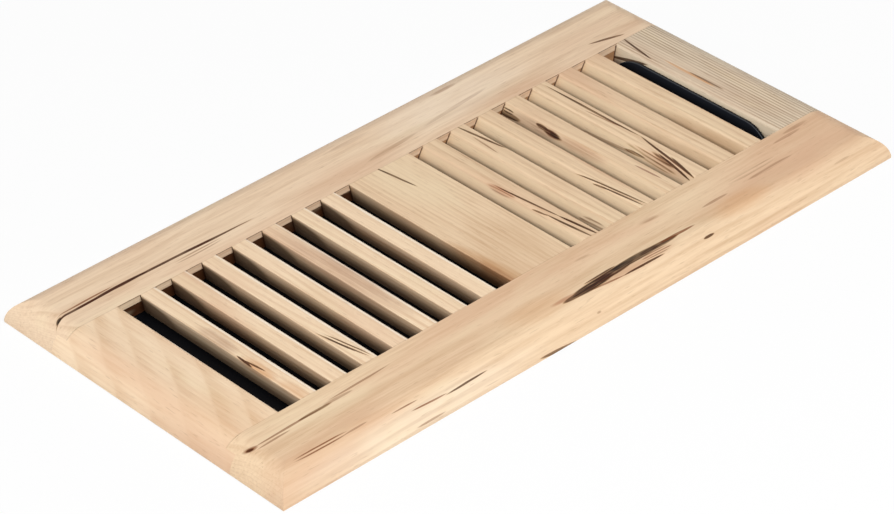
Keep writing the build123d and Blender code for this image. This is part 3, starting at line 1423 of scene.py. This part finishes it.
# Tan stretch on the far wall behind the right bay, lighter than the painted shade elsewhere.
WALL_STREAKS = (Streak(86, 54.0, 78, 6.0, CATHEDRAL_TAN, 0.8, 0.2, soft=0.3),)
RIGHT_BAY_STREAKS = (
    # Painted shadow line along each slat's right top edge.
    Blush(0, 8.7, 90, 0.6, SEPIA, 0.55, 0.0, top_only=True),
    # Painted shade: darker gold-brown on the slopes of slats 6 and 7 towards the near end.
    Blush(-38, -5.0, 46, 6.0, GOLD_BROWN, 0.35, 0.1, 0.0, 6),
    Blush(-38, -5.0, 46, 6.0, GOLD_BROWN, 0.45, 0.1, 0.0, 7),
    Blush(1, 0.0, 11, 2.6, ROSE_BROWN, 0.7, 0.4, -0.05, 1),
    Streak(1, 0.0, 9, 2.1, SEPIA, 0.7, 0.4, -0.06, 1, threads=3),
    Streak(-14, 2.8, 20, 0.65, UMBER, 0.9, 0.1, -0.11, 1),
    Streak(-42.5, 5.9, 12.5, 0.8, UMBER, 1.0, 0.0, -0.11, 1),
    Streak(-23.5, 0.6, 5, 0.6, UMBER, 0.75, 0.3, -0.15, 1),
    Streak(-40, 2.7, 15, 0.7, UMBER, 0.9, 0.1, -0.09, 1),
    Streak(39, 6.3, 16, 0.75, UMBER, 0.9, 0.1, -0.125, 2),
    Streak(33, 3.6, 10, 0.5, SEPIA, 0.6, 0.1, 0.05, 2),
    Streak(-42, -5.0, 9, 2.6, SEPIA, 0.75, 0.2, -0.05, 2, threads=3),
    Streak(-32.5, 1.7, 22, 0.6, UMBER, 0.8, 0.1, -0.125, 3),
    Streak(-28, -0.5, 5.5, 0.5, UMBER, 0.75, 0.3, -0.12, 3),
    Streak(-40, 0.9, 13, 0.6, UMBER, 0.85, 0.1, -0.115, 3),
    Blush(34, -3.8, 24, 4.2, MAUVE, 0.55, 0.4, -0.02, 4),
    Blush(2, -2.4, 20, 3.4, ROSE_BROWN, 0.5, 0.4, -0.02, 4),
    Streak(47.5, -4.6, 8, 1.5, CHARCOAL_BROWN, 0.9, 0.5, -0.04, 4),
    Streak(49, -2.8, 4, 1.4, CHARCOAL_BROWN, 0.95, 0.3, 0.0, 4, threads=2),
    Streak(27, -1.6, 4.5, 1.2, UMBER, 0.9, 0.5, 0.03, 4),
    Blush(20, -2.4, 5.5, 2.2, MAUVE, 0.9, 0.2, 0.05, 4),
    Streak(20, -2.4, 7, 1.7, UMBER, 1.0, 0.6, 0.05, 4, soft=0.9),
    Streak(18.5, -2.4, 3.5, 0.9, CHARCOAL_BROWN, 0.8, 0.4, 0.05, 4),
    Streak(-34.5, 5.5, 9, 0.7, MAUVE, 0.8, 0.1, -0.05, 4),
    Streak(19, 6.2, 33, 0.7, UMBER, 0.85, 0.1, -0.013, 5),
    Streak(-32, 3.1, 22, 0.8, UMBER, 0.95, 0.1, 0.175, 5),
    Streak(10, 5.2, 13, 0.5, SEPIA, 0.7, 0.1, -0.1, 5),
    Streak(5.5, -5.6, 27, 0.8, SEPIA, 0.6, 0.3, -0.07, 5),
    Streak(-16.5, -3.7, 7, 0.8, UMBER, 0.8, 0.5, -0.06, 5),
    Blush(-34.5, -1.5, 20, 5.0, ROSE_BROWN, 0.45, 0.3, 0.05, 5),
    Streak(-26, -2.2, 17, 2.4, UMBER, 0.5, 0.5, 0.05, 5, threads=3),
    Streak(-32, 0.3, 9, 1.3, UMBER, 0.9, 0.6, 0.15, 5, soft=0.9),
    Streak(-39.5, -0.2, 13, 0.7, UMBER, 0.9, 0.1, 0.19, 5),
    Streak(-43, 1.9, 10, 0.7, UMBER, 0.9, 0.1, 0.23, 5),
)
LEFT_BAY_STREAKS = (
    # Painted highlight along each slat's right top edge.
    Streak(0, 8.1, 90, 0.9, PALE_TONE_AND_HIGHLIGHT, 0.6, 0.0, soft=0.8, top_only=True),
    Blush(4, 2.5, 16, 5.0, MAUVE, 0.5, 0.3, 0.0, 7),
    Blush(-24, 1.2, 14, 5.0, HONEY, 0.6, 0.3, 0.0, 7),
    Blush(-46, 1.5, 12, 5.0, HONEY, 0.5, 0.3, 0.0, 7),
    Streak(-16, 0.7, 6, 0.75, UMBER, 0.95, 0.2, 0.1, 7),
    Streak(-21, 1.8, 7, 0.6, UMBER, 0.85, 0.2, -0.1, 7),
    Streak(-38, 4.4, 14, 1.7, UMBER, 0.8, 0.1, -0.18, 5, threads=2),
    Streak(-33, 2.4, 12, 0.5, UMBER, 0.7, 0.2, -0.16, 5),
    Blush(5, 4.5, 54, 9.0, MAUVE, 0.45, 0.5, 0.0, 3),
)
# Side rails with painted shade below the lip and a painted shadow line along its top.
SIDE_RAIL_WOOD = Hardwood("side_rail_wood", shade_from=0.003, shade_to=0.0065, lip_shadow_line=0.6)
SLAT_WOOD = Hardwood(
    "slat_wood",
    ring_spacing=0.0034,
    ring_contrast=0.4,
    pith_across=-0.05,
    pith_depth=-0.08,
    seam=SLOT_HALF,
)
NEAR_WOOD = replace(
    SIDE_RAIL_WOOD,
    name="near_rail_wood",
    ring_spacing=0.0040,
    ring_contrast=0.42,
    pith_across=-0.075,
    pith_depth=-0.11,
    seed=1.3,
    streaks=NEAR_STREAKS,
)
FAR_WOOD = replace(
    SIDE_RAIL_WOOD,
    name="far_rail_wood",
    pale=srgb(238, 212, 182),
    tan=srgb(192, 154, 118),
    ring_spacing=0.0022,
    ring_contrast=0.38,
    pith_across=0.085,
    pith_depth=-0.10,
    seed=4.1,
    streaks=FAR_STREAKS,
)
LEFT_END_WOOD = Hardwood(
    "left_end_wood",
    pale=BRIGHT_SAPWOOD,
    tan=BRIGHT_LATEWOOD,
    ring_spacing=0.013,
    ring_contrast=0.42,
    pith_across=-0.30,
    pith_depth=-0.10,
    drift=-0.5,
    wave=0.014,
    seam=SLOT_HALF,
    seed=7.7,
    streaks=LEFT_END_STREAKS,
)
RIGHT_END_WOOD = Hardwood(
    "right_end_wood",
    pale=GREY_SAPWOOD,
    tan=GREY_LATEWOOD,
    ring_spacing=0.0017,
    ring_contrast=0.9,
    shade_from=0.0045,
    # Painted light on the end rail's inner face below its top edge.
    inner_light_tone=srgb(250, 230, 200),
    inner_light_share=0.85,
    pith_across=0.05,
    pith_depth=0.0,
    drift=0.0,
    wave=0.0015,
    blush=0.2,
    seam=SLOT_HALF,
    seed=9.2,
    streaks=RIGHT_END_STREAKS,
)
CENTRE_WOOD = Hardwood(
    "centre_rail_wood",
    ring_spacing=0.0023,
    ring_contrast=0.3,
    pith_across=-0.09,
    pith_depth=-0.02,
    wave=0.007,
    seam=SLOT_HALF,
    seed=12.4,
    streaks=CENTRE_STREAKS,
)
LEFT_BAY_WOOD = replace(
    SLAT_WOOD,
    name="left_bay_wood",
    pale=BRIGHT_SAPWOOD,
    tan=BRIGHT_LATEWOOD,
    seed=15.8,
    streaks=LEFT_BAY_STREAKS,
)
RIGHT_BAY_WOOD = replace(
    SLAT_WOOD,
    name="right_bay_wood",
    # Painted shade towards the foot of the visible slopes.
    shade_from=0.0036,
    shade_to=0.0062,
    # Painted light on the slats' sloping inner faces below their top edges.
    inner_light_tone=srgb(243, 217, 180),
    inner_light_share=0.68,
    seed=21.5,
    streaks=RIGHT_BAY_STREAKS,
)
# Slot walls coloured the dark brown of painted shade.
SHADED_WALL_WOOD = Hardwood(
    "slot_wall_wood",
    pale=srgb(70, 40, 22),
    tan=srgb(42, 24, 12),
    ring_contrast=0.3,
    blush=0.0,
    seed=26.1,
    streaks=WALL_STREAKS,
)
BOARDS = (
    Board("near_side_rail", Grain.ALONG_LENGTH, -1, SLOT_HALF, NEAR_WOOD),
    Board("far_side_rail", Grain.ALONG_LENGTH, 1, SLOT_HALF, FAR_WOOD),
    Board("left_end_rail", Grain.ALONG_WIDTH, -1, FIELD_HALF, LEFT_END_WOOD),
    Board("right_end_rail", Grain.ALONG_WIDTH, 1, FIELD_HALF, RIGHT_END_WOOD),
    Board("centre_rail", Grain.ALONG_WIDTH, 0, CENTRE_HALF, CENTRE_WOOD),
)


def main() -> None:
    """Builds and dresses the register, then sets up the studio."""
    logging.basicConfig(level=logging.INFO, format="%(name)s: %(message)s")
    blade_plastic = SatinBlack("blade_plastic", roughness=0.14, texture=0.04, gloss=0.07)
    fastenings = Fastenings(SatinBlack("retainer_paint", roughness=0.45), ZincSteel("screw_zinc"))
    damper = Damper(blade_plastic, TabPlastic("tab_plastic"))
    for assembly in (RegisterFrame(BOARDS), damper, fastenings):
        assembly.dress()
    # Left bay with its painted shade setting in sooner near the far rail.
    left_louvers = LouverBay(Bay.LEFT, LEFT_BAY_WOOD, far_shade=3.5)
    right_louvers = LouverBay(Bay.RIGHT, RIGHT_BAY_WOOD)
    for assembly in (left_louvers, right_louvers, SlotWalls(SHADED_WALL_WOOD), fastenings):
        piece = assembly.build()
        LOG.info("%s: %d faces", piece.name, len(piece.data.polygons))
    Studio().build()
    bpy.context.view_layer.update()


if __name__ == "__main__":
    main()
